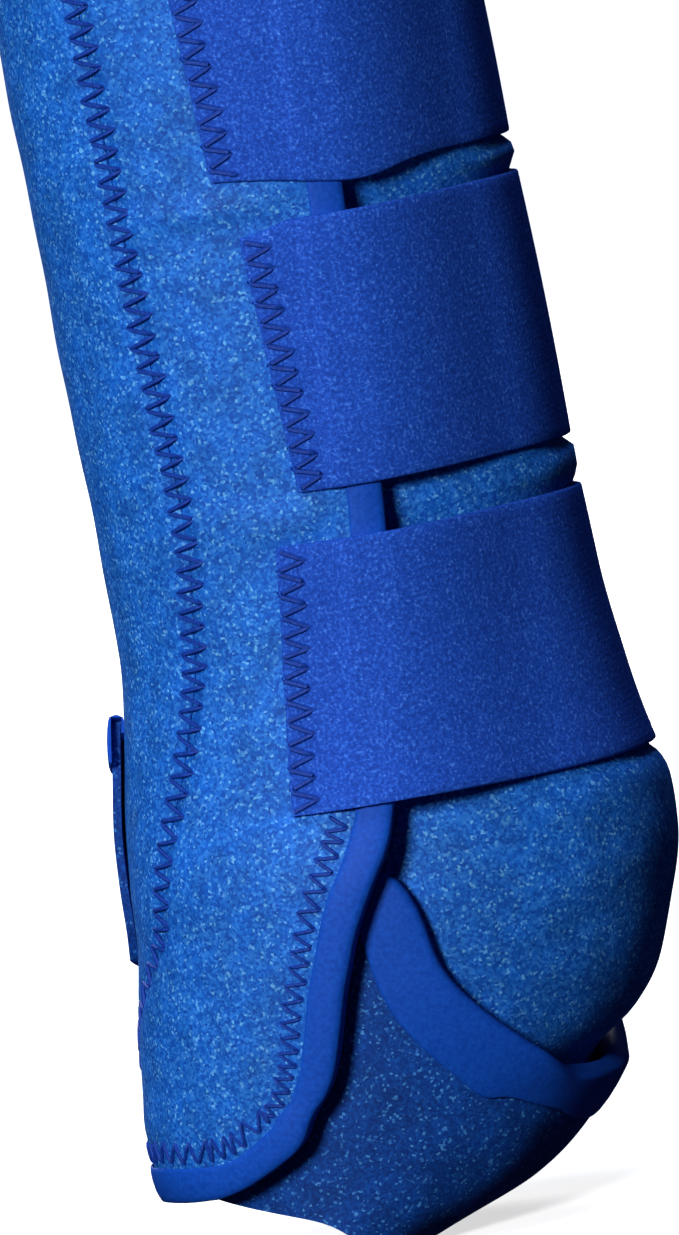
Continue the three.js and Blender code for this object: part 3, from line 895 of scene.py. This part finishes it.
# %% Strap ends and hook tapes
def make_strap_end(strap_name, mid):
    low, high = strap_edges[strap_name]
    half = STRAP_WIDTH / 2

    def rounded_end(z):
        return TAB_END - 8 * np.abs((z - strap_middle(mid, 210)) / half) ** 4

    def tucked(a):
        return 1 - ramp(a, TAB_ANGLE - 0.2, TAB_ANGLE + 1.4)

    def lower_face(a, z):
        return ON_SHELL + 0.25 * tucked(a) + 1.0 * ramp(a, TAB_ANGLE + 1, TAB_ANGLE + 11)

    def upper_face(a, z):
        across = np.clip((z - low(a)) / (high(a) - low(a)), 0, 1) * 2 - 1
        crown = 0.25 * (1 - across ** 2) * ramp(TAB_END - a, 2, 14) * ramp(a - TAB_ANGLE, 2, 14)
        return lower_face(a, z) - 0.5 * tucked(a) + STRAP + crown

    tab = finish_piece(
        lay_panel(strap_name + "_strap_grip", (level(TAB_ANGLE - 1.6), rounded_end), (low, high),
                  lower_face, upper_face, 44, 24),
        strap_elastic, rim=0.5)
    hooks = finish_piece(
        lay_panel(strap_name + "_strap_hooks", (level(TAB_ANGLE + 13), level(TAB_END - 6)),
                  (lambda a: low(a) + 4, lambda a: high(a) - 4), CLEAR, CLEAR + HOOK_TAPE, 28, 12),
        hook_plastic, rim=0.2)
    seam = finish_piece(
        zigzag(strap_name + "_grip_stitches",
               lambda t: (TAB_ANGLE + 0 * t, high(TAB_ANGLE) - 1.5
                          + (low(TAB_ANGLE) - high(TAB_ANGLE) + 3) * t),
               STRAP_WIDTH - 3, 4.6, 0.0, upper_face, start=mid),
        sewing_thread)
    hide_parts(strap_name + "_strap_tab")
    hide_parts(strap_name + "_hook_tape")
    for piece in (tab, seam, hooks):
        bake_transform(piece)


for name, mid, *_ in STRAPS:
    make_strap_end(name, mid)

# %% [markdown]
# ## The fetlock sling
# The sling is a softer, finer glitter cloth. It starts under the closing panel, hugs the fetlock from
# below and behind, and its free end wraps up round the front on the inner side, where hooks hold it. A
# wide tape binds its upper edge, which stands a little away from the ball at the back.

# %% Sling and its free end
def flare(angle, height):
    opened = ramp(height, sling_top(angle) - 30, sling_top(angle))
    return 2 * opened * ramp(angle, 100, 135) * (1 - ramp(angle, 225, 265))


def sling_inner(angle, height):
    return SLING_GAP + flare(angle, np.minimum(height, sling_top(angle)))


def sling_outer(angle, height):
    up = (height - sling_bottom(angle)) / (sling_top(angle) - sling_bottom(angle))
    soft = 0.7 * np.sin(np.pi * np.clip(up, 0, 1)) * ramp(angle, 92, 112)
    folds = 0.22 * np.sin(0.19 * angle + 0.12 * height) * np.sin(np.pi * np.clip(up, 0, 1))
    return sling_inner(angle, height) + SLING + soft + folds * ramp(angle, 92, 112)


sling_wrap = finish_piece(
    lay_panel("sling_wrap", (level(SLING_START), level(SLING_SPLIT - 0.3)),
              (sling_bottom, lambda a: sling_top(a) - 1), sling_inner, sling_outer, 150, 36),
    sling_glitter_painted_shade)
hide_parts("sling_band")
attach(sling_wrap, "boot_shell")


def sling_edge(t):
    angle = SLING_START + 1 + (SLING_SPLIT - SLING_START - 2) * t
    return angle, sling_top(angle)


sling_wrap_tape = finish_piece(
    fold_tape("sling_wrap_tape", sling_edge, SLING_GAP - 0.6, SLING_GAP + SLING + 0.75, 11, 3, 170, -1,
              lambda a, z: flare(a, np.minimum(z, sling_top(a)))),
    binding_tape, smooth=70)
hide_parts("sling_binding")
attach(sling_wrap_tape, "boot_shell")


def grip_inner(angle, height):
    return lift(angle, height) + 1.0 + 3.2 * (1 - ramp(angle, SLING_SPLIT, SLING_SPLIT + 9))


def grip_end(z):
    middle = (sling_top(362) + sling_bottom(362)) / 2
    return SLING_END - 5 * np.minimum(np.abs(z - middle) / 25, 1) ** 4


def grip_edge(t):
    start, end = SLING_SPLIT - 5, SLING_END - 1
    angle = start + (end - start) * t
    return angle, sling_top(angle)


sling_grip = finish_piece(
    lay_panel("sling_grip", (level(SLING_SPLIT - 6), grip_end), (sling_bottom, sling_top),
              grip_inner, lambda a, z: grip_inner(a, z) + SLING_GRIP, 60, 30),
    sling_glitter_painted_shade)
sling_grip_tape = finish_piece(
    fold_tape("sling_grip_tape", grip_edge, -0.25, SLING_GRIP + 0.2, 9, 3, 48, -1, grip_inner),
    binding_tape, smooth=70)
sling_hooks = finish_piece(
    lay_panel("sling_grip_hooks", (level(322), level(SLING_END - 5)),
              (lambda a: sling_bottom(a) + 5, lambda a: sling_top(a) - 8),
              lambda a, z: lift(a, z) + 0.25, lambda a, z: lift(a, z) + 0.9, 30, 14),
    hook_plastic, rim=0.2)
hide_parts("sling_tab")
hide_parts("sling_tab_binding")
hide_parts("sling_hook_tape")
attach(sling_hooks, "sling_end")
for piece in (sling_grip, sling_grip_tape):
    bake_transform(piece)

# %% [markdown]
# ## Floor, light and camera
# A plain pale floor and soft light from the left let the glitter speak and leave the back of the boot dark.
# The floor glows faintly, so that it stays an even white far behind the boot, but it gives no bounce light,
# as if black card stood below the lens. A long lens keeps the edges of the sleeve parallel, and the camera
# leans so that the boot stands at a slant.

# %% Floor
bpy.ops.object.select_all(action="DESELECT")
FLOOR_SIZE, FLOOR_GAP, FLOOR_GLOW = 80, 0.0004, 0.66
bpy.ops.mesh.primitive_plane_add(size=FLOOR_SIZE, location=(0, 0, cad_box[0][2] - FLOOR_GAP))
floor = bpy.context.active_object
floor.name = "floor"
floor_paint, floor_shader, _ = new_material("matt white paper", 0.9)
floor_shader.inputs["Base Color"].default_value = colour("#f7f7f7")
floor_shader.inputs["Emission Color"].default_value = colour("#ffffff")
floor_shader.inputs["Emission Strength"].default_value = FLOOR_GLOW
floor.data.materials.append(floor_paint)
floor.visible_diffuse = False
floor.visible_glossy = False

# %% Lights
def soft_light(name, place, aim, size, watts):
    bpy.ops.object.light_add(type="AREA", location=place)
    lamp = bpy.context.active_object
    lamp.name = name
    lamp.data.shape = "DISK"
    lamp.data.size = size
    lamp.data.energy = watts
    lamp.rotation_euler = (Vector(aim) - Vector(place)).to_track_quat("-Z", "Y").to_euler()


middle = (0, 0, 0.14)
soft_light("key light", (-0.68, -1.58, 0.7), middle, 0.45, 28)
soft_light("top light", (-0.5, -0.5, 1.5), middle, 0.9, 3)
soft_light("back light", (-0.3, 1.6, 0.8), middle, 0.8, 15)
bpy.ops.object.light_add(type="SUN", location=(0, 0, 3))
sky = bpy.context.active_object
sky.name = "sky light"
sky.data.energy = 1.7
sky.data.color = colour("#d6e0ff")[:3]
sky.data.angle = math.radians(40)

world = bpy.data.worlds.new("studio")
scene.world = world
world.use_nodes = True
world.node_tree.nodes["Background"].inputs["Color"].default_value = colour("#9db8ff")
world.node_tree.nodes["Background"].inputs["Strength"].default_value = 0.03
scene.view_settings.view_transform = "Standard"

# %% Camera
DISTANCE, FRAME_HEIGHT, SENSOR = 4.0, 0.247, 24    # metres, metres, millimetres
ELEVATION, LEAN = math.radians(6.0), math.radians(11.5)
target = Vector((-0.0056, 0, 0.1235))
back = Vector((0, -math.cos(ELEVATION), math.sin(ELEVATION)))
upright = Vector((0, math.sin(ELEVATION), math.cos(ELEVATION)))
sideways = Vector((1, 0, 0))
up = upright * math.cos(LEAN) + sideways * math.sin(LEAN)
right = sideways * math.cos(LEAN) - upright * math.sin(LEAN)
bpy.ops.object.camera_add()
camera = bpy.context.active_object
camera.data.sensor_fit = "VERTICAL"
camera.data.sensor_height = SENSOR
camera.data.lens = SENSOR * DISTANCE / FRAME_HEIGHT
turned = Matrix((right, up, back)).transposed().to_4x4()
camera.matrix_world = Matrix.Translation(target + back * DISTANCE) @ turned
scene.camera = camera
